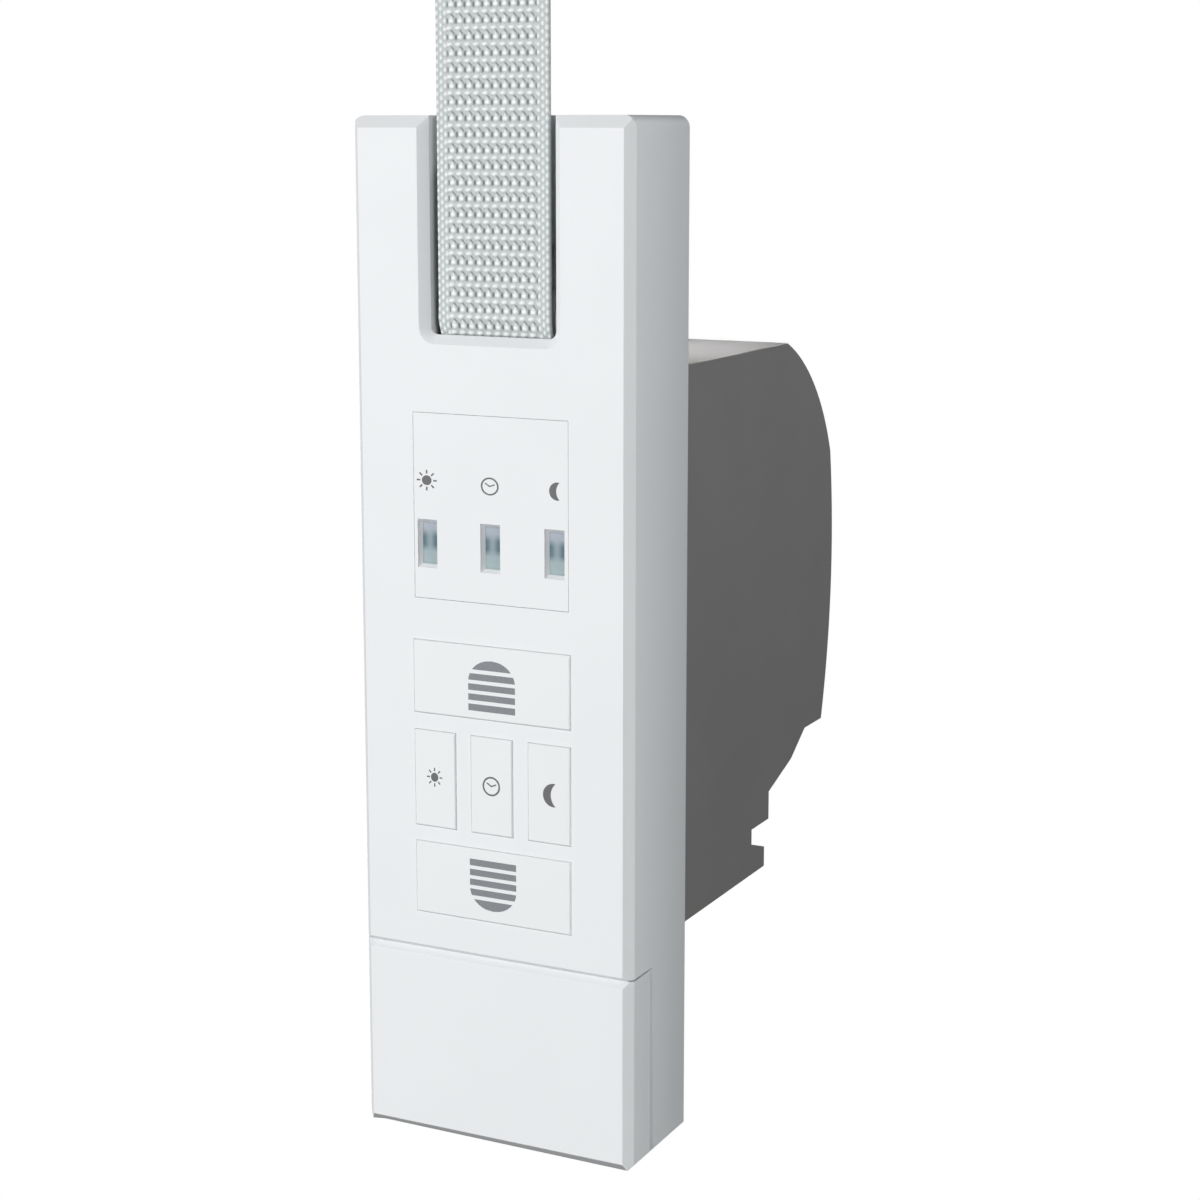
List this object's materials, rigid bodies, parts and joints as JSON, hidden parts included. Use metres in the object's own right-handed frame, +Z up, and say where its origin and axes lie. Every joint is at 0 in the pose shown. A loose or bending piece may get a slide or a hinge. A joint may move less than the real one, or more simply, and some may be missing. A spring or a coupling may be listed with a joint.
{
  "type": "electric belt winder",
  "caption": "Flush-mounted electric winder for a roller-shutter belt, with front keys, indicator windows and an in-wall reel housing.",
  "frame": {"origin": "on the wall plane, at half the height and half the width of the front", "axes": "+X to the right seen from the room, +Y into the wall, +Z up"},
  "size_m": [0.057, 0.1274, 0.2218],
  "materials": {
    "white_plastic": "fine satin moulded white",
    "panel_plastic": "fine satin moulded white",
    "key_plastic": "fine satin moulded white with grey printed signs",
    "clear_window": "clear blue-grey plastic",
    "circuit_board": "green solder mask",
    "black_plastic": "moulded black",
    "led_epoxy": "clear epoxy",
    "zinc_steel": "zinc plated",
    "grey_plastic": "dark grey moulded",
    "bright_steel": "ground rod",
    "natural_nylon": "natural white",
    "woven_belt": "woven light grey belt",
    "wire_red": "wire insulation",
    "wire_brown": "wire insulation",
    "core_steel": "varnished laminations",
    "relay_blue": "moulded blue",
    "capacitor_sleeve": "shrink sleeve",
    "terminal_green": "moulded green",
    "worm_brass": "cut brass",
    "ferrite": "sintered ferrite",
    "roller_plastic": "acetal roller"
  },
  "bodies": {
    "root": {"front_cover": "white_plastic", "indicator_panel": "panel_plastic", "indicator_lenses": "clear_window", "control_board": "circuit_board", "switch_bodies": "black_plastic", "indicator_leds": "led_epoxy", "microcontroller": "black_plastic", "hall_sensor": "black_plastic", "board_screws": "zinc_steel", "mounting_frame": "white_plastic", "housing_left": "grey_plastic", "housing_right": "grey_plastic", "housing_screws": "zinc_steel", "reel_axle": "bright_steel", "idler_axle": "bright_steel", "wheel_axle": "bright_steel", "roller_axle": "bright_steel", "idler_spacer": "natural_nylon", "wheel_spacer": "natural_nylon", "belt_strand": "woven_belt", "motor_can": "zinc_steel", "motor_end_cap": "black_plastic", "motor_bracket": "zinc_steel", "motor_screws": "zinc_steel", "motor_leads": "wire_red", "supply_leads": "wire_brown", "power_board": "circuit_board", "transformer": "core_steel", "motor_relays": "relay_blue", "capacitor": "capacitor_sleeve", "terminal_block": "terminal_green", "terminal_screws": "zinc_steel", "fuse_holder": "black_plastic"},
    "motor_shaft": {"motor_shaft": "bright_steel", "worm": "worm_brass", "encoder_magnet": "ferrite"},
    "wheel": {"worm_wheel": "natural_nylon"},
    "idler": {"idler_gear": "natural_nylon"},
    "reel": {"reel_drum": "natural_nylon", "reel_flange": "natural_nylon", "belt_coil": "woven_belt"},
    "roller": {"guide_roller": "roller_plastic"},
    "wiring_cover": {"lower_cover": "white_plastic"},
    "up_key": {"up_button": "key_plastic", "up_plunger": "black_plastic"},
    "down_key": {"down_button": "key_plastic", "down_plunger": "black_plastic"},
    "day_key": {"day_button": "key_plastic", "day_plunger": "black_plastic"},
    "clock_key": {"clock_button": "key_plastic", "clock_plunger": "black_plastic"},
    "night_key": {"night_button": "key_plastic", "night_plunger": "black_plastic"}
  },
  "joints": [
    {"name": "motor_spin", "type": "hinge", "parent": "root", "child": "motor_shaft", "pos_m": [0, -0.00102, -0.02], "axis": [0, 0, 1], "continuous": true},
    {"name": "wheel_spin", "type": "hinge", "parent": "root", "child": "wheel", "pos_m": [0, 0.01048, -0.05199], "axis": [1, 0, 0], "continuous": true},
    {"name": "idler_spin", "type": "hinge", "parent": "root", "child": "idler", "pos_m": [0, 0.02618, -0.0396], "axis": [1, 0, 0], "continuous": true},
    {"name": "reel_spin", "type": "hinge", "parent": "root", "child": "reel", "pos_m": [0, 0.056, 0.003], "axis": [1, 0, 0], "continuous": true},
    {"name": "roller_spin", "type": "hinge", "parent": "root", "child": "roller", "pos_m": [0, -0.0152, 0.0613], "axis": [1, 0, 0], "continuous": true},
    {"name": "cover_slide", "type": "slide", "parent": "root", "child": "wiring_cover", "axis": [0, -1, 0], "range_m": [0, 0.025]},
    {"name": "up_press", "type": "slide", "parent": "root", "child": "up_key", "axis": [0, 1, 0], "range_m": [0, 0.0005], "stiffness_N_per_m": 1500, "springref_m": -0.0003},
    {"name": "down_press", "type": "slide", "parent": "root", "child": "down_key", "axis": [0, 1, 0], "range_m": [0, 0.0005], "stiffness_N_per_m": 1500, "springref_m": -0.0003},
    {"name": "day_press", "type": "slide", "parent": "root", "child": "day_key", "axis": [0, 1, 0], "range_m": [0, 0.0005], "stiffness_N_per_m": 1500, "springref_m": -0.0003},
    {"name": "clock_press", "type": "slide", "parent": "root", "child": "clock_key", "axis": [0, 1, 0], "range_m": [0, 0.0005], "stiffness_N_per_m": 1500, "springref_m": -0.0003},
    {"name": "night_press", "type": "slide", "parent": "root", "child": "night_key", "axis": [0, 1, 0], "range_m": [0, 0.0005], "stiffness_N_per_m": 1500, "springref_m": -0.0003}
  ],
  "couplings": [
    {"joint": "wheel_spin", "follows": "motor_spin", "ratio": 0.05},
    {"joint": "idler_spin", "follows": "motor_spin", "ratio": -0.021429},
    {"joint": "reel_spin", "follows": "motor_spin", "ratio": 0.0078947},
    {"joint": "roller_spin", "follows": "motor_spin", "ratio": 0.032436}
  ]
}
